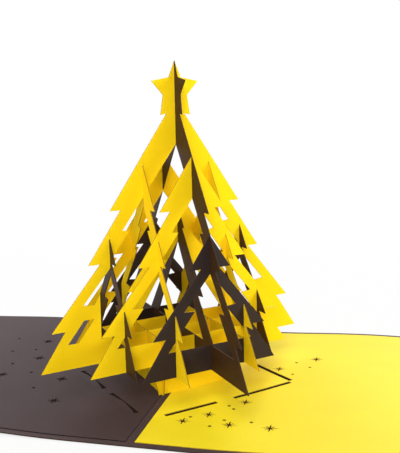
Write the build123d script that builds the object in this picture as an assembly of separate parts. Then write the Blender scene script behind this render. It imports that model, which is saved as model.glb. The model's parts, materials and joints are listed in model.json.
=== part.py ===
from build123d import *
import os
from math import cos, radians, sin, tan

# Open pop up card with a tree of slotted paper sheets. Millimetres, +Z up, origin on the
# table under the middle of the spine, +X across the open card, +Y along the spine to the back.

# Folded cover
PANEL_W = 150.0
PANEL_D = 150.0
COVER_T = 0.5
SCORE_W = 1.2
SCORE_DEPTH = 0.2

# Cut-out star of lozenges in the front panel of the cover, clear of the liner's slits
LOZENGE_COUNT = 8
LOZENGE_CENTRE = 90.0
LOZENGE_START = 7.0
LOZENGE_END = (33.0, 23.0)
LOZENGE_W = (7.5, 5.0)

# Liners glued to the inside of the cover
LINER_T = 0.3
LINER_INSET = 3.0
SPINE_GAP = 3.6

# Slits in the liners: four lines round the tree, on each one slit towards the spine and one
# towards the outer corner, which starts further out and is longer in the yellow liner
SLIT_LINE = 37.0
SLIT_TURN = 45.0
SLIT_W = 2.2
SLIT_START = 3.5
SLIT_LENGTH = 25.0
YELLOW_OUTER_START = 5.0
YELLOW_OUTER_LENGTH = 30.5

# Sparkle cut-outs (x, y, ray length) and dots (x, y) in the liners
SPARKLE_SHORT = 0.75
SPARKLE_SHOULDER = 0.6
SPARKLE_RAY_W = 0.6
DOT_R = 0.75
YELLOW_SPARKLES = (
    (14.5, -50.0, 3.4),
    (23.2, -41.8, 3.4),
    (33.2, -50.0, 3.4),
    (49.5, -51.0, 3.6),
    (35.5, -26.5, 3.4),
    (44.0, 15.5, 3.4),
    (60.0, 30.5, 3.6),
)
YELLOW_DOTS = (
    (16.5, -45.5),
    (26.0, -52.5),
    (30.5, -46.0),
    (29.5, -31.5),
    (32.0, -34.5),
    (41.5, -46.5),
    (51.0, 25.0),
    (51.0, 9.0),
    (58.0, 19.0),
)
DARK_SPARKLES = (
    (-80.0, -20.5, 3.4),
    (-51.5, -18.0, 3.6),
    (-44.5, -42.0, 3.4),
    (-73.5, 4.5, 3.4),
    (-80.5, 29.5, 3.6),
)
DARK_DOTS = (
    (-98.0, 31.0),
    (-91.5, 11.0),
    (-82.5, -6.0),
    (-68.5, -14.5),
    (-59.0, -31.5),
    (-81.0, 16.0),
)

# Tree lattice: five sheets one way and five across them, seen from above
SHEET_T = 0.4
RUN_ANGLE = 45.0
CROSS_ANGLE = -51.5
SPACING = 16.8
RUN_EXTRA_IN = (0.0, 0.2, 0.4)
CROSS_EXTRA_IN = (0.0, 3.2, 2.9)
LAP_CLEARANCE = 0.12
LAP_OPEN = 1.0

# Edge of the middle sheets from the star down, (half width, height); what lies further out
# is set from the crossing line near it, so that no slot cuts off a branch tip
STAR_EDGE = (
    (0.0, 143.8),
    (3.0, 136.7),
    (11.6, 135.2),
    (6.0, 129.1),
    (7.4, 120.5),
)
TREE_EDGE = (
    (4.5, 121.1),
    (2 * SPACING - 0.6, 80.4),
    (2 * SPACING - 5.6, 80.4),
    (2 * SPACING + 10.2, 57.9),
    (2 * SPACING + 4.8, 57.9),
    (3 * SPACING + 10.9, 30.9),
    (3 * SPACING + 4.9, 30.9),
    (4 * SPACING - 0.4, 14.2),
)

# Edge of the tree shaped hole in the middle sheets
STRIP_TOP = 25.0
HOLE_EDGE = (
    (0.0, 108.0),
    (SPACING + 10.6, 71.5),
    (SPACING + 7.5, 71.0),
    (2 * SPACING - 1.3, 60.4),
    (2 * SPACING - 3.3, 59.8),
    (3 * SPACING - 3.6, 41.0),
    (3 * SPACING - 8.6, 40.5),
    (3 * SPACING + 4.1, STRIP_TOP),
)

# Inner tree in that hole: its outer edge and its own triangular hole
INNER_EDGE = (
    (0.0, 81.5),
    (6.8, 71.0),
    (4.8, 70.4),
    (SPACING + 9.2, 43.9),
    (SPACING + 4.1, 43.3),
    (2 * SPACING + 2.4, STRIP_TOP),
)
INNER_HOLE_EDGE = ((0.0, 64.5), (SPACING + 9.2, STRIP_TOP))

# Post beside the hole of the yellow star sheet and the slanted window outside it
POST_INNER = 2 * SPACING + 5.4
POST_TOP = 45.0
WINDOW_TOP = 34.5
WINDOW_W = 4.8

# Feet of the yellow sheets next to the middle, and their tabs through the liners
FOOT_TOP_HALF = 21.5
FOOT_BOTTOM_HALF = 18.5
TAB_W = 7.0
TAB_CENTRES = (-2.0, 11.0)
TAB_CLEARANCE = 0.15

COVER_TOP = COVER_T
LINER_TOP = COVER_T + LINER_T
TREE_BOTTOM = TREE_EDGE[-1][1]
RUN = Vector(cos(radians(RUN_ANGLE)), sin(radians(RUN_ANGLE)))
CROSS = Vector(cos(radians(CROSS_ANGLE)), sin(radians(CROSS_ANGLE)))
CROSSING = radians(RUN_ANGLE - CROSS_ANGLE)
LAP_W = SHEET_T / sin(CROSSING) + SHEET_T * abs(1 / tan(CROSSING)) + LAP_CLEARANCE
RUN_NAMES = {
    -2: "dark_sheet_back",
    -1: "yellow_sheet_back",
    0: "yellow_star_sheet",
    1: "yellow_sheet_front",
    2: "dark_sheet_front",
}
CROSS_NAMES = {
    -2: "dark_sheet_left",
    -1: "yellow_sheet_left",
    0: "dark_star_sheet",
    1: "yellow_sheet_right",
    2: "dark_sheet_right",
}
STEPS = tuple(RUN_NAMES)


# Outlines in a sheet's own plane: x along the sheet from the middle, y up from the table

def mirrored(right):
    """Closed loop from its right-hand edge, listed from the top down."""
    left = [(-x, z) for x, z in reversed(right) if x > 0]
    return list(right) + left


def stepped_in(edge, inset):
    """Edge of a sheet away from the middle, moved in and cut off at its own axis."""
    moved = [(x - inset, z) for x, z in edge]
    kept = [moved[0]] if moved[0][0] >= 0 else []
    for (x0, z0), (x1, z1) in zip(moved, moved[1:]):
        if x0 < 0 <= x1:
            kept = [(0.0, z0 + (z1 - z0) * x0 / (x0 - x1))]
        if x1 >= 0:
            kept.append((x1, z1))
    return kept


def outline(step, inset):
    """Outer loop: the star on the middle sheet, feet on the sheets beside it."""
    edge = stepped_in(TREE_EDGE, inset)
    if step == 0:
        return mirrored(list(STAR_EDGE) + edge)
    if abs(step) == 1:
        edge = edge + [(FOOT_TOP_HALF, TREE_BOTTOM), (FOOT_BOTTOM_HALF, LINER_TOP)]
    return mirrored(edge)


def on_last_slope(height):
    """Half width of the hole's lowest slope at a height."""
    (x0, z0), (x1, z1) = HOLE_EDGE[-2:]
    return x0 + (x1 - x0) * (height - z0) / (z1 - z0)


def nested_holes(edge):
    """Chevron hole from its outer edge to the inner tree, and the inner tree's own triangle."""
    chevron = list(edge) + list(reversed(INNER_EDGE))
    return [mirrored(chevron), mirrored(INNER_HOLE_EDGE)]


def posted_holes():
    """Nested holes between two posts, and a slanted window outside each post."""
    edge = list(HOLE_EDGE[:-1]) + [(POST_INNER, POST_TOP), (POST_INNER, STRIP_TOP)]
    window = [
        (on_last_slope(WINDOW_TOP), WINDOW_TOP),
        HOLE_EDGE[-1],
        (HOLE_EDGE[-1][0] - WINDOW_W, STRIP_TOP),
        (on_last_slope(WINDOW_TOP) - WINDOW_W, WINDOW_TOP),
    ]
    other_window = [(-x, z) for x, z in window]
    return nested_holes(edge) + [window, other_window]


def run_loops(step):
    """Outer loop and holes of a running sheet, with posts in the middle one."""
    inset = SPACING * abs(step) + RUN_EXTRA_IN[abs(step)]
    holes = [mirrored(stepped_in(HOLE_EDGE, inset))] if step else posted_holes()
    return [outline(step, inset)] + holes


def cross_loops(step):
    """Outer loop and holes of a crossing sheet."""
    inset = SPACING * abs(step) + CROSS_EXTRA_IN[abs(step)]
    holes = [mirrored(stepped_in(HOLE_EDGE, inset))] if step else nested_holes(HOLE_EDGE)
    return [outline(step, inset)] + holes


def spans(loops, x):
    """Heights between which an upright line at x runs in paper."""
    heights = []
    for loop in loops:
        for (x0, z0), (x1, z1) in zip(loop, loop[1:] + loop[:1]):
            if (x0 <= x) != (x1 <= x):
                heights.append(z0 + (z1 - z0) * (x - x0) / (x1 - x0))
    heights.sort()
    return list(zip(heights[::2], heights[1::2]))


def lap_slots(run, cross, run_x, cross_x):
    """Slots of two crossing sheets: the running sheet from above, the crossing one from below."""
    run_slots = []
    cross_slots = []
    for run_low, run_high in spans(run, run_x):
        for cross_low, cross_high in spans(cross, cross_x):
            low = max(run_low, cross_low)
            high = min(run_high, cross_high)
            if high - low > -LAP_OPEN:
                middle = (low + high) / 2
                run_slots.append((run_x, middle - LAP_CLEARANCE / 2, run_high + LAP_OPEN))
                cross_slots.append((cross_x, cross_low - LAP_OPEN, middle + LAP_CLEARANCE / 2))
    return run_slots, cross_slots


# Tree sheets

def tab_centres(step):
    """Middles of the tabs along a sheet, on the side of the spine where it stands."""
    return [step * centre for centre in TAB_CENTRES]


def flat_sheet(step, loops, slots):
    """Face of one sheet with its holes, lap slots and tabs."""
    face = Polygon(*loops[0], align=None)
    if abs(step) == 1:
        for centre in tab_centres(step):
            face += Pos(centre, (COVER_TOP + LINER_TOP) / 2) * Rectangle(TAB_W, LINER_T)
    face -= [Polygon(*hole, align=None) for hole in loops[1:]]
    face -= [Pos(x, (low + high) / 2) * Rectangle(LAP_W, high - low) for x, low, high in slots]
    return face


def standing(face, along, offset):
    """Sheet stood up over the spine, running along one lattice direction."""
    place = Plane(origin=offset, x_dir=along, z_dir=along.cross(Vector(0, 0, 1)))
    return extrude(place * face, amount=SHEET_T / 2, both=True)


def tree_sheets():
    """All ten sheets by node name, half lapped at every crossing."""
    runs = {step: run_loops(step) for step in STEPS}
    crosses = {step: cross_loops(step) for step in STEPS}
    run_slots = {step: [] for step in STEPS}
    cross_slots = {step: [] for step in STEPS}
    for run_step, run in runs.items():
        for cross_step, cross in crosses.items():
            in_run, in_cross = lap_slots(run, cross, cross_step * SPACING, run_step * SPACING)
            run_slots[run_step] += in_run
            cross_slots[cross_step] += in_cross
    sheets = {}
    for step in STEPS:
        shift = step * SPACING
        run_face = flat_sheet(step, runs[step], run_slots[step])
        cross_face = flat_sheet(step, crosses[step], cross_slots[step])
        sheets[RUN_NAMES[step]] = standing(run_face, RUN, CROSS * shift)
        sheets[CROSS_NAMES[step]] = standing(cross_face, CROSS, RUN * shift)
    return sheets


# Card

def lozenge(number):
    """One ray of the cut-out star, long and short in turn."""
    end = LOZENGE_END[number % 2]
    half = LOZENGE_W[number % 2] / 2
    waist = (LOZENGE_START + end) / 2
    ray = Polygon((LOZENGE_START, 0), (waist, -half), (end, 0), (waist, half), align=None)
    return Rot(0, 0, number * 360 / LOZENGE_COUNT) * ray


def cover():
    """Both panels in one sheet, with the spine's score and the cut-out star."""
    face = Rectangle(2 * PANEL_W, PANEL_D)
    face -= [Pos(LOZENGE_CENTRE, 0) * lozenge(number) for number in range(LOZENGE_COUNT)]
    sheet = extrude(face, amount=COVER_T)
    groove = Polygon(
        (-SCORE_W / 2, COVER_TOP), (0, COVER_TOP - SCORE_DEPTH), (SCORE_W / 2, COVER_TOP), align=None
    )
    return sheet - extrude(Plane.XZ * groove, amount=PANEL_D / 2, both=True)


def sparkle(x, y, ray):
    """Sparkle of four crossing cuts with pointed ends, long and short in turn."""
    cuts = []
    half = SPARKLE_RAY_W / 2
    for turn in range(4):
        tip = ray * SPARKLE_SHORT if turn % 2 else ray
        shoulder = tip * SPARKLE_SHOULDER
        end = [(shoulder, -half), (tip, 0), (shoulder, half)]
        other_end = [(-along, -across) for along, across in end]
        cuts.append(Pos(x, y) * Rot(0, 0, 45 * turn) * Polygon(*end, *other_end, align=None))
    return cuts


def side_slits(side):
    """Slits of the two lines on one side of the spine."""
    to_spine = (SLIT_START, SLIT_LENGTH)
    to_corner = (YELLOW_OUTER_START, YELLOW_OUTER_LENGTH) if side > 0 else to_spine
    slits = []
    for way in (-1, 1):
        for (start, length), sign in ((to_spine, way), (to_corner, -way)):
            slit = Pos(SLIT_LINE, sign * (start + length / 2)) * Rectangle(SLIT_W, length)
            slits.append(Rot(0, 0, way * SLIT_TURN + (0 if side > 0 else 180)) * slit)
    return slits


def tab_slits(side):
    """Slits for the tabs of the two footed sheets on one side of the spine."""
    slits = []
    for angle, offset in ((RUN_ANGLE, CROSS), (CROSS_ANGLE, RUN)):
        for centre in tab_centres(side):
            slit = Pos(centre, 0) * Rectangle(TAB_W + 2 * TAB_CLEARANCE, SHEET_T + 2 * TAB_CLEARANCE)
            foot = offset * side * SPACING
            slits.append(Pos(foot.X, foot.Y) * Rot(0, 0, angle) * slit)
    return slits


def liner(side, sparkles, dots):
    """Liner of the panel on one side of the spine (1 right, -1 left)."""
    width = PANEL_W - LINER_INSET - SPINE_GAP / 2
    face = Pos(side * (SPINE_GAP + width) / 2, 0) * Rectangle(width, PANEL_D - 2 * LINER_INSET)
    face -= side_slits(side) + tab_slits(side)
    face -= [cut for place in sparkles for cut in sparkle(*place)]
    face -= [Pos(x, y) * Circle(DOT_R) for x, y in dots]
    return extrude(Pos(0, 0, COVER_TOP) * face, amount=LINER_T)


nodes = {
    "cover": cover(),
    "dark_liner": liner(-1, DARK_SPARKLES, DARK_DOTS),
    "yellow_liner": liner(1, YELLOW_SPARKLES, YELLOW_DOTS),
    **tree_sheets(),
}
os.makedirs("parts", exist_ok=True)
for name, solid in nodes.items():
    export_step(solid, f"parts/{name}.step")
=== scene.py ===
import bpy
import json
from math import cos, pi, radians, sin
from mathutils import Matrix, Vector

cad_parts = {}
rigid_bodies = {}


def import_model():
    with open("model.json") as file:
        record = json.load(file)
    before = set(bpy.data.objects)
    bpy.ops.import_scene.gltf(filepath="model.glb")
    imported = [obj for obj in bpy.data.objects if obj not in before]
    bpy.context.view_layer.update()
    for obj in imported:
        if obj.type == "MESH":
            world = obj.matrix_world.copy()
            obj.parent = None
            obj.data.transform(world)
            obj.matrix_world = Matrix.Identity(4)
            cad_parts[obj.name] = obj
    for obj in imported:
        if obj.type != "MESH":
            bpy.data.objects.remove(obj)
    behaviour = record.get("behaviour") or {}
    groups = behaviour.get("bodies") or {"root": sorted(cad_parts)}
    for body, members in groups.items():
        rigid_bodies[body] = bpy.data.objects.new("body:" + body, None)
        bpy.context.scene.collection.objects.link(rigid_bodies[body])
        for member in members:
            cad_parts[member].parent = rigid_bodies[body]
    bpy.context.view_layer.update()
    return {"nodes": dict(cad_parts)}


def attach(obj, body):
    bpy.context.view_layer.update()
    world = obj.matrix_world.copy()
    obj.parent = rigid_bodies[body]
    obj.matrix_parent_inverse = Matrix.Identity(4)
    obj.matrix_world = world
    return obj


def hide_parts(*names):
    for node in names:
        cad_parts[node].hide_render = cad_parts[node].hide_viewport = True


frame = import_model()
nodes = frame["nodes"]

# Camera of the photograph: place in millimetres and turn in degrees, in the card's frame
CAMERA_PLACE_MM = (90.27, -321.99, 124.69)
CAMERA_AZIMUTH = 13.93
CAMERA_ELEVATION = 9.21
CAMERA_ROLL = -0.90
CAMERA_FOCAL_PX = 751.0
CAMERA_CLIP_START = 0.01
IMAGE_LONG_SIDE_PX = 453
SENSOR_MM = 36.0
MM_PER_METRE = 1000

# Soft boxes round the card, metres
LAMP_DISTANCE = 2.0
LAMP_SIZE = 1.0
LAMP_AIM = Vector((0.0, 0.0, 0.05))

# Each soft box: azimuth from the front to the right and elevation, degrees, and power, watts
LAMPS = (
    ("front_box", 8.0, 30.0, 25.0),
    ("low_left_box", -45.0, 8.0, 5.2),
    ("low_right_box", 95.0, 8.0, 27.0),
    ("back_left_box", -135.0, 30.0, 13.5),
    ("back_box", 165.0, 30.0, 14.3),
    ("top_box", 0.0, 65.0, 15.2),
)

# White surroundings: strength of the world's light, and the floor, metres, which is partly white
# to the eye near the card, so that its shadow shows, and fades to all white further out
WHITE = (1.0, 1.0, 1.0, 1.0)
WORLD_LIGHT = 0.03
FLOOR_SIZE = 12.0
FLOOR_DROP = 0.0002
FLOOR_COLOUR = (0.92, 0.92, 0.92, 1.0)
FLOOR_FADE = (0.15, 0.45)
FLOOR_WHITE_SHARE = (0.75, 1.0)

# Lattice of the tree: the two ways its sheets run, degrees, and their pitch, metres
RUN_ANGLE = 45.0
CROSS_ANGLE = -51.5
PITCH = 0.0168
SHEET_THICKNESS = 0.0004
RUN_WAY = Vector((cos(radians(RUN_ANGLE)), sin(radians(RUN_ANGLE)), 0.0))
CROSS_WAY = Vector((cos(radians(CROSS_ANGLE)), sin(radians(CROSS_ANGLE)), 0.0))

# Sheets of the tree in their order across it, and the first one's step from the middle
RUN_SHEETS = (
    "dark_sheet_back",
    "yellow_sheet_back",
    "yellow_star_sheet",
    "yellow_sheet_front",
    "dark_sheet_front",
)
CROSS_SHEETS = (
    "dark_sheet_left",
    "yellow_sheet_left",
    "dark_star_sheet",
    "yellow_sheet_right",
    "dark_sheet_right",
)
FIRST_STEP = -2

# Tongues that close the mouths of the running sheets' slots, metres
TONGUE_WIDTH = 0.00048
TONGUE_GAP = 0.00006
LEAST_TONGUE = 0.0003
BESIDE_SLOT = 0.0004
ABOVE_TREE = 0.2

# Directions square to the tree's sheets and to the card
RUN_FACING = (RUN_WAY.y, -RUN_WAY.x, 0.0)
CROSS_FACING = (-CROSS_WAY.y, CROSS_WAY.x, 0.0)
CARD_FACING = (0.0, 0.0, 1.0)
UPWARD = Vector(CARD_FACING)

# Paper colours, linear
LEMON = (0.97, 0.77, 0.015)
LEMON_CUT = (0.50, 0.30, 0.015)
GOLDEN = (0.98, 0.66, 0.007)
GOLDEN_CUT = (0.42, 0.25, 0.012)
COVER_CHARCOAL = (0.032, 0.025, 0.025)
LINER_BROWN = (0.058, 0.038, 0.040)
# Dark liner's cut edges, the walls of its slits and its rim: painted shade
SHADED_LINER_CUT = (0.014, 0.008, 0.007)
RIM_BROWN = (0.070, 0.047, 0.048)
# One dark paper in two tones: the crossing sheets' warmer brown is painted yellow bounce light from
# the yellow sheets and liner
TREE_BROWN_BOUNCE_LIT = (0.044, 0.020, 0.007)
TREE_CHARCOAL = (0.031, 0.020, 0.018)
# Cover's faces under the two liners, seen through their slits and cut-outs: painted shade
UNDER_YELLOW = (0.020, 0.011, 0.006)
UNDER_DARK = (0.020, 0.012, 0.011)
DARK_CUT = (0.045, 0.026, 0.016)

# Paper finishes: mottle is the share by which the colour varies, bump the strength of the fibres
YELLOW_TREE_FINISH = {"roughness": 0.75, "specular": 0.05, "mottle": 0.03, "bump": 0.25}
DARK_RUN_FINISH = {"roughness": 0.5, "specular": 0.1, "mottle": 0.06, "bump": 0.3}
DARK_CROSS_FINISH = {"roughness": 0.5, "specular": 0.14, "mottle": 0.06, "bump": 0.3}
DARK_CARD_FINISH = {"roughness": 0.6, "specular": 0.06, "mottle": 0.06, "bump": 0.35}
UNDER_LINER_FINISH = {"roughness": 0.8, "specular": 0.02, "mottle": 0.06, "bump": 0.35}
YELLOW_LINER_FINISH = {"roughness": 0.6, "specular": 0.3, "mottle": 0.025, "bump": 0.25}

# Clouds and fibres in every paper, and the part of the noise's range that colours it
CLOUD_NOISE = {"Scale": 45.0, "Detail": 3.0, "Roughness": 0.55}
FIBRE_NOISE = {"Scale": 1500.0, "Detail": 5.0, "Roughness": 0.65, "Distortion": 1.4}
COLOUR_RANGE = (0.3, 0.7)
FULL_RANGE = (0.0, 1.0)
FIBRE_MOTTLE = 1.5
ROUGHNESS_SPREAD = 0.08
FIBRE_HEIGHT = 0.0001
LEAST_FACE_COSINE = 0.7

# Card sheets: flat under the tree, bowed a little between there and their outer edges, metres
PANEL_WIDTH = 0.150
LINER_END = 0.147
LINER_HALF_DEPTH = 0.072
LINER_START = 0.0018
FLAT_HALF_WIDTH = 0.025
BOW_WIDTH = PANEL_WIDTH - FLAT_HALF_WIDTH
BOW_RISE = 0.0017
BOW_STEPS = 14
MERGE_DISTANCE = 0.000005
ACROSS = (1.0, 0.0, 0.0)
ALONG = (0.0, 1.0, 0.0)

# Papers inside the bowed cover, by their places in its list, and what counts as facing up
RIM_PAPER = 1
UNDER_YELLOW_PAPER = 2
UNDER_DARK_PAPER = 3
LEAST_UPWARD = 0.5

# Slits of the dark liner, two on each of two slanted lines, metres and degrees: the paper on
# their outer side has sprung up a little and half way across them
SLIT_LINE = 0.037
SLIT_LINE_ANGLES = (135.0, 225.0)
SLIT_MIDDLES = (-0.016, 0.016)
SLIT_HALF_LENGTH = 0.0125
SLIT_HALF_WIDTH = 0.0011
LIP_STATIONS = (-0.009, 0.0, 0.009)
LIP_DEPTH = 0.0016
LIP_REACH = 0.0013
LIP_RISE = 0.0006
NEAR_WALL = 0.0001


def pick(*pieces):
    """Only these pieces selected and the first of them active, or nothing at all."""
    for other in bpy.context.view_layer.objects:
        other.select_set(False)
    for piece in pieces:
        piece.select_set(True)
    bpy.context.view_layer.objects.active = pieces[0] if pieces else None


# Shader nodes

def shader_node(tree, kind, place, **values):
    """New node at its place in the editor, with its settings and unlinked inputs."""
    node = tree.nodes.new(kind)
    node.location = place
    for key, value in values.items():
        if key in node.inputs:
            node.inputs[key].default_value = value
        else:
            setattr(node, key, value)
    return node


def math_value(tree, place, operation, *terms):
    """Result of one operation on numbers and other nodes' outputs."""
    node = shader_node(tree, "ShaderNodeMath", place, operation=operation)
    for term, socket in zip(terms, node.inputs):
        if isinstance(term, float):
            socket.default_value = term
        else:
            tree.links.new(term, socket)
    return node.outputs["Value"]


def range_value(tree, place, value, source, target):
    """Value taken from one range to another and held at its ends."""
    node = shader_node(tree, "ShaderNodeMapRange", place)
    node.inputs["From Min"].default_value = source[0]
    node.inputs["From Max"].default_value = source[1]
    node.inputs["To Min"].default_value = target[0]
    node.inputs["To Max"].default_value = target[1]
    tree.links.new(value, node.inputs["Value"])
    return node.outputs["Result"]


# Papers

def noise_value(tree, place, where, settings):
    """Noise at the paper's own coordinates."""
    node = shader_node(tree, "ShaderNodeTexNoise", place, **settings)
    tree.links.new(where, node.inputs["Vector"])
    return node.outputs["Fac"]


def dyed_face(tree, colour, mottle, cloud, fibre):
    """Colour of a paper's faces, mottled by clouds and fibres."""
    finer = FIBRE_MOTTLE * mottle
    shade = range_value(tree, (-600, 300), cloud, COLOUR_RANGE, (1.0 - mottle, 1.0 + mottle))
    fleck = range_value(tree, (-600, 0), fibre, COLOUR_RANGE, (1.0 - finer, 1.0 + finer))
    dyed = shader_node(tree, "ShaderNodeHueSaturation", (-200, 200))
    dyed.inputs["Color"].default_value = (*colour, 1.0)
    tree.links.new(math_value(tree, (-400, 150), "MULTIPLY", shade, fleck), dyed.inputs["Value"])
    return dyed.outputs["Color"]


def cut_edge_share(tree, facing):
    """1 on the cut edges of a sheet that faces one way, 0 on its two faces."""
    normal = shader_node(tree, "ShaderNodeNewGeometry", (-850, -350)).outputs["True Normal"]
    square = shader_node(tree, "ShaderNodeVectorMath", (-600, -350), operation="DOT_PRODUCT")
    square.inputs[1].default_value = facing
    tree.links.new(normal, square.inputs[0])
    flat = math_value(tree, (-400, -350), "ABSOLUTE", square.outputs["Value"])
    return math_value(tree, (-200, -350), "LESS_THAN", flat, LEAST_FACE_COSINE)


def cut_paper(name, colour, cut_colour, facing, finish):
    """Dyed paper: mottled faces with fine fibres, and cut edges of their own colour, which on the dark
    liner is painted shade.
    """
    material = bpy.data.materials.new(name)
    material.use_nodes = True
    tree = material.node_tree
    tree.nodes.clear()
    link = tree.links.new
    output = shader_node(tree, "ShaderNodeOutputMaterial", (1000, 0))
    paper = shader_node(tree, "ShaderNodeBsdfPrincipled", (700, 0))
    paper.inputs["Specular IOR Level"].default_value = finish["specular"]
    link(paper.outputs["BSDF"], output.inputs["Surface"])

    where = shader_node(tree, "ShaderNodeTexCoord", (-1100, 0)).outputs["Object"]
    cloud = noise_value(tree, (-850, 300), where, CLOUD_NOISE)
    fibre = noise_value(tree, (-850, 0), where, FIBRE_NOISE)
    tone = shader_node(tree, "ShaderNodeMix", (200, 150), data_type="RGBA")
    link(cut_edge_share(tree, facing), tone.inputs["Factor"])
    link(dyed_face(tree, colour, finish["mottle"], cloud, fibre), tone.inputs["A"])
    tone.inputs["B"].default_value = (*cut_colour, 1.0)
    link(tone.outputs["Result"], paper.inputs["Base Color"])

    smoothest = finish["roughness"] - ROUGHNESS_SPREAD
    roughest = finish["roughness"] + ROUGHNESS_SPREAD
    rough = range_value(tree, (200, -100), fibre, FULL_RANGE, (smoothest, roughest))
    link(rough, paper.inputs["Roughness"])
    relief = shader_node(tree, "ShaderNodeBump", (400, -300))
    relief.inputs["Strength"].default_value = finish["bump"]
    relief.inputs["Distance"].default_value = FIBRE_HEIGHT
    link(fibre, relief.inputs["Height"])
    link(relief.outputs["Normal"], paper.inputs["Normal"])
    return material


def dress(name, material):
    """One CAD node in one paper."""
    nodes[name].data.materials.clear()
    nodes[name].data.materials.append(material)


def sheet_colour(name):
    """Yellow or dark, as a tree sheet's name begins."""
    return name.split("_")[0]


yellow_run = cut_paper("yellow_run_paper", GOLDEN, GOLDEN_CUT, RUN_FACING, YELLOW_TREE_FINISH)
yellow_cross = cut_paper("yellow_cross_paper", GOLDEN, GOLDEN_CUT, CROSS_FACING, YELLOW_TREE_FINISH)
dark_run = cut_paper("dark_run_paper", TREE_CHARCOAL, DARK_CUT, RUN_FACING, DARK_RUN_FINISH)
# Crossing dark sheets in the dark paper warmed by painted yellow bounce light
dark_cross = cut_paper("dark_cross_paper", TREE_BROWN_BOUNCE_LIT, DARK_CUT, CROSS_FACING, DARK_CROSS_FINISH)
run_papers = {"yellow": yellow_run, "dark": dark_run}
cross_papers = {"yellow": yellow_cross, "dark": dark_cross}
for name in RUN_SHEETS:
    dress(name, run_papers[sheet_colour(name)])
for name in CROSS_SHEETS:
    dress(name, cross_papers[sheet_colour(name)])

charcoal_cover = cut_paper("charcoal_cover", COVER_CHARCOAL, DARK_CUT, CARD_FACING, DARK_CARD_FINISH)
brown_rim = cut_paper("brown_rim", RIM_BROWN, DARK_CUT, CARD_FACING, DARK_CARD_FINISH)
# Painted shade for the cover under each liner
under_yellow = cut_paper("painted_shade_under_yellow_liner", UNDER_YELLOW, DARK_CUT, CARD_FACING, UNDER_LINER_FINISH)
under_dark = cut_paper("painted_shade_under_dark_liner", UNDER_DARK, DARK_CUT, CARD_FACING, UNDER_LINER_FINISH)
# Dark liner, its cut edges darkened as painted shade
brown_liner = cut_paper("brown_liner", LINER_BROWN, SHADED_LINER_CUT, CARD_FACING, DARK_CARD_FINISH)
lemon_liner = cut_paper("lemon_liner", LEMON, LEMON_CUT, CARD_FACING, YELLOW_LINER_FINISH)
dress("cover", charcoal_cover)
dress("dark_liner", brown_liner)
dress("yellow_liner", lemon_liner)


# Bowed card

def bow_share(x):
    """Share of the full rise at a distance from the spine, none at the outer edge."""
    along = (abs(x) - FLAT_HALF_WIDTH) / BOW_WIDTH
    return sin(pi * min(max(along, 0.0), 1.0)) ** 2


def cut_across(place, square):
    """Straight cut through the whole mesh in edit mode."""
    bpy.ops.mesh.select_all(action="SELECT")
    bpy.ops.mesh.bisect(plane_co=place, plane_no=square)


def cut_strips():
    """Cuts in edit mode between the strips that bow, and along the liners' edges."""
    for side in (-1, 1):
        for step in range(BOW_STEPS):
            x = side * (FLAT_HALF_WIDTH + BOW_WIDTH * step / BOW_STEPS)
            cut_across((x, 0.0, 0.0), ACROSS)
        cut_across((side * LINER_START, 0.0, 0.0), ACROSS)
        cut_across((side * LINER_END, 0.0, 0.0), ACROSS)
        cut_across((0.0, side * LINER_HALF_DEPTH, 0.0), ALONG)


def lift_bow(piece):
    """The picked piece's strips lifted into the bow."""
    group = piece.vertex_groups.new(name="bow")
    for vertex in piece.data.vertices:
        group.add([vertex.index], bow_share(vertex.co.x), "REPLACE")
    lift = piece.modifiers.new("bow", "DISPLACE")
    lift.direction = "Z"
    lift.mid_level = 0.0
    lift.strength = BOW_RISE
    lift.vertex_group = "bow"
    bpy.ops.object.modifier_apply(modifier="bow")


def bowed(name):
    """Copy of one flat card sheet, cut into narrow strips across and lifted into a bow."""
    piece = bpy.data.objects.new("bowed_" + name, nodes[name].data.copy())
    bpy.context.scene.collection.objects.link(piece)
    pick(piece)
    bpy.ops.object.mode_set(mode="EDIT")
    bpy.ops.mesh.select_all(action="SELECT")
    bpy.ops.mesh.remove_doubles(threshold=MERGE_DISTANCE)
    cut_strips()
    bpy.ops.object.mode_set(mode="OBJECT")
    lift_bow(piece)
    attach(piece, "root")
    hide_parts(name)
    return piece


def cut_lips(outward, sideways):
    """Cuts in edit mode along the root of the lips on one slanted line, and across each lip."""
    cut_across(outward * (SLIT_LINE + SLIT_HALF_WIDTH + LIP_DEPTH), outward)
    for middle in SLIT_MIDDLES:
        for station in LIP_STATIONS:
            cut_across(sideways * (middle + station), sideways)


def spring_lips(piece, outward, sideways):
    """Outer wall of each slit on one slanted line, moved over the slit and up between its ends."""
    for vertex in piece.data.vertices:
        across = vertex.co.dot(outward) - SLIT_LINE - SLIT_HALF_WIDTH
        for middle in SLIT_MIDDLES:
            along = (vertex.co.dot(sideways) - middle) / SLIT_HALF_LENGTH
            if abs(across) < NEAR_WALL and abs(along) < 1.0:
                share = cos(pi / 2 * along)
                vertex.co += (UPWARD * LIP_RISE - outward * LIP_REACH) * share


def lift_slit_lips(piece):
    """Sprung paper along the outer side of the dark liner's slits."""
    pick(piece)
    for angle in SLIT_LINE_ANGLES:
        outward = Vector((cos(radians(angle)), sin(radians(angle)), 0.0))
        sideways = outward.cross(UPWARD)
        bpy.ops.object.mode_set(mode="EDIT")
        cut_lips(outward, sideways)
        bpy.ops.object.mode_set(mode="OBJECT")
        spring_lips(piece, outward, sideways)


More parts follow.
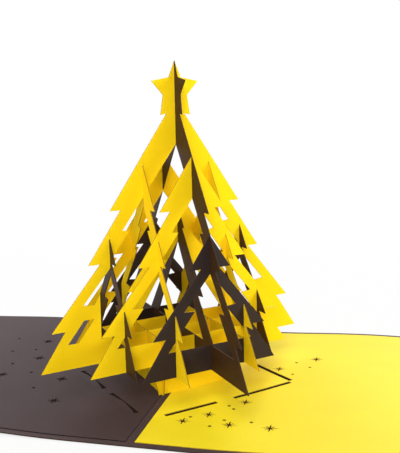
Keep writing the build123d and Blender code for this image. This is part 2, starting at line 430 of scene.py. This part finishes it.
def dress_cover(piece):
    """Charcoal outside, brown rim inside, and painted shade on the faces under the liners, seen
    through their slits and cut-outs.
    """
    piece.data.materials.append(brown_rim)
    piece.data.materials.append(under_yellow)
    piece.data.materials.append(under_dark)
    for face in piece.data.polygons:
        across, along = abs(face.center.x), abs(face.center.y)
        # Faces under a liner take the painted shade, the others the brown rim
        shaded_under_liner = LINER_START < across < LINER_END and along < LINER_HALF_DEPTH
        if face.normal.z > LEAST_UPWARD:
            under = UNDER_YELLOW_PAPER if face.center.x > 0.0 else UNDER_DARK_PAPER
            face.material_index = under if shaded_under_liner else RIM_PAPER


dress_cover(bowed("cover"))
lift_slit_lips(bowed("dark_liner"))
bowed("yellow_liner")


# Slot tongues

def top_height(name, place):
    """Height of a sheet's upper edge over a place on the table, none where it has no paper."""
    hit, spot, _, _ = nodes[name].ray_cast(Vector((place.x, place.y, ABOVE_TREE)), -UPWARD)
    return spot.z if hit else 0.0


def tongue(place, foot, left_top, right_top):
    """Thin strip of the running sheet from the crossing sheet's edge up to its own."""
    middle = (foot + left_top) / 2
    pick()
    bpy.ops.mesh.primitive_cube_add(
        size=1.0,
        location=(place.x, place.y, middle),
        rotation=(0.0, 0.0, radians(RUN_ANGLE)),
        scale=(TONGUE_WIDTH, SHEET_THICKNESS, left_top - foot),
    )
    bpy.ops.object.transform_apply(location=True, rotation=True, scale=True)
    strip = bpy.context.object
    bpy.ops.object.mode_set(mode="EDIT")
    bpy.ops.mesh.select_all(action="DESELECT")
    bpy.ops.object.mode_set(mode="OBJECT")
    for corner in strip.data.vertices:
        corner.select = corner.co.z > middle and (corner.co - place).dot(RUN_WAY) > 0.0
    bpy.ops.object.mode_set(mode="EDIT")
    bpy.ops.transform.translate(value=(0.0, 0.0, right_top - left_top))
    bpy.ops.object.mode_set(mode="OBJECT")
    return strip


def sheet_tongues(run_step, run_name):
    """All tongues of one running sheet, joined into one piece."""
    strips = []
    for cross_step, cross_name in enumerate(CROSS_SHEETS, start=FIRST_STEP):
        place = PITCH * (CROSS_WAY * run_step + RUN_WAY * cross_step)
        foot = top_height(cross_name, place) + TONGUE_GAP
        left_top = top_height(run_name, place - RUN_WAY * BESIDE_SLOT)
        right_top = top_height(run_name, place + RUN_WAY * BESIDE_SLOT)
        if min(left_top, right_top) > foot + LEAST_TONGUE:
            strips.append(tongue(place, foot, left_top, right_top))
    if not strips:
        return
    pick(*strips)
    bpy.ops.object.join()
    bpy.ops.object.mode_set(mode="EDIT")
    bpy.ops.mesh.select_all(action="SELECT")
    bpy.ops.mesh.normals_make_consistent(inside=False)
    bpy.ops.object.mode_set(mode="OBJECT")
    piece = strips[0]
    colour = sheet_colour(run_name)
    piece.name = run_name + "_tongues"
    piece.data.materials.append(run_papers[colour])
    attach(piece, "root")


for run_step, run_name in enumerate(RUN_SHEETS, start=FIRST_STEP):
    sheet_tongues(run_step, run_name)


# Floor, light and camera

def seen_share(tree, place):
    """1 where the camera, a reflection or a clear material looks, else 0."""
    path = shader_node(tree, "ShaderNodeLightPath", place).outputs
    second, third = (place[0] + 200, place[1]), (place[0] + 400, place[1])
    plain = math_value(tree, second, "MAXIMUM", path["Is Camera Ray"], path["Is Glossy Ray"])
    return math_value(tree, third, "MAXIMUM", plain, path["Is Transmission Ray"])


def studio_world():
    """White all round to the eye, soft light for the rest."""
    world = bpy.data.worlds.new("studio")
    world.use_nodes = True
    tree = world.node_tree
    tree.nodes.clear()
    link = tree.links.new
    output = shader_node(tree, "ShaderNodeOutputWorld", (600, 0))
    light = shader_node(tree, "ShaderNodeBackground", (200, -100), Color=WHITE, Strength=WORLD_LIGHT)
    white = shader_node(tree, "ShaderNodeBackground", (200, 100), Color=WHITE, Strength=1.0)
    mix = shader_node(tree, "ShaderNodeMixShader", (400, 0))
    link(seen_share(tree, (-400, 200)), mix.inputs["Fac"])
    link(light.outputs["Background"], mix.inputs[1])
    link(white.outputs["Background"], mix.inputs[2])
    link(mix.outputs["Shader"], output.inputs["Surface"])
    bpy.context.scene.world = world


def pale_floor():
    """Pale matt floor, whiter to the eye further from the card."""
    material = bpy.data.materials.new("pale_floor")
    material.use_nodes = True
    tree = material.node_tree
    tree.nodes.clear()
    link = tree.links.new
    output = shader_node(tree, "ShaderNodeOutputMaterial", (600, 0))
    pale = shader_node(tree, "ShaderNodeBsdfDiffuse", (200, -100), Color=FLOOR_COLOUR)
    white = shader_node(tree, "ShaderNodeEmission", (200, 100), Strength=1.0)
    where = shader_node(tree, "ShaderNodeTexCoord", (-600, 500)).outputs["Object"]
    far = shader_node(tree, "ShaderNodeVectorMath", (-400, 500), operation="LENGTH")
    link(where, far.inputs[0])
    share = range_value(tree, (-200, 500), far.outputs["Value"], FLOOR_FADE, FLOOR_WHITE_SHARE)
    seen = seen_share(tree, (-400, 300))
    mix = shader_node(tree, "ShaderNodeMixShader", (400, 0))
    link(math_value(tree, (200, 300), "MULTIPLY", seen, share), mix.inputs["Fac"])
    link(pale.outputs["BSDF"], mix.inputs[1])
    link(white.outputs["Emission"], mix.inputs[2])
    link(mix.outputs["Shader"], output.inputs["Surface"])
    return material


def studio_floor():
    """Wide floor that keeps the card's shadow."""
    pick()
    bpy.ops.mesh.primitive_plane_add(size=FLOOR_SIZE, location=(0.0, 0.0, -FLOOR_DROP))
    floor = bpy.context.object
    floor.name = "studio_floor"
    floor.data.materials.append(pale_floor())


def soft_lamp(name, azimuth, elevation, power):
    """Soft box turned to the tree."""
    flat = LAMP_DISTANCE * cos(radians(elevation))
    place = Vector((flat * sin(radians(azimuth)), -flat * cos(radians(azimuth)), 0.0))
    place.z = LAMP_AIM.z + LAMP_DISTANCE * sin(radians(elevation))
    lamp = bpy.data.lights.new(name, "AREA")
    lamp.energy = power
    lamp.size = LAMP_SIZE
    holder = bpy.data.objects.new(name, lamp)
    bpy.context.scene.collection.objects.link(holder)
    holder.location = place
    holder.rotation_mode = "QUATERNION"
    holder.rotation_quaternion = (LAMP_AIM - place).to_track_quat("-Z", "Y")


def photo_camera():
    """Camera at the photograph's place, turn and field of view."""
    azimuth, elevation, roll = (radians(a) for a in (CAMERA_AZIMUTH, CAMERA_ELEVATION, CAMERA_ROLL))
    right = Vector((cos(azimuth), sin(azimuth), 0.0))
    forward = Vector((-sin(azimuth) * cos(elevation), cos(azimuth) * cos(elevation), -sin(elevation)))
    up = right.cross(forward)
    rolled_right = right * cos(roll) + up * sin(roll)
    rolled_up = up * cos(roll) - right * sin(roll)
    camera = bpy.data.objects.new("photo_camera", bpy.data.cameras.new("photo_camera"))
    bpy.context.scene.collection.objects.link(camera)
    turn = Matrix((rolled_right, rolled_up, -forward)).transposed()
    camera.matrix_world = Matrix.Translation(Vector(CAMERA_PLACE_MM) / MM_PER_METRE) @ turn.to_4x4()
    camera.data.sensor_width = SENSOR_MM
    camera.data.lens = CAMERA_FOCAL_PX / IMAGE_LONG_SIDE_PX * SENSOR_MM
    camera.data.clip_start = CAMERA_CLIP_START
    bpy.context.scene.camera = camera


studio_world()
studio_floor()
for lamp_name, azimuth, elevation, power in LAMPS:
    soft_lamp(lamp_name, azimuth, elevation, power)
photo_camera()
bpy.context.scene.view_settings.view_transform = "Standard"
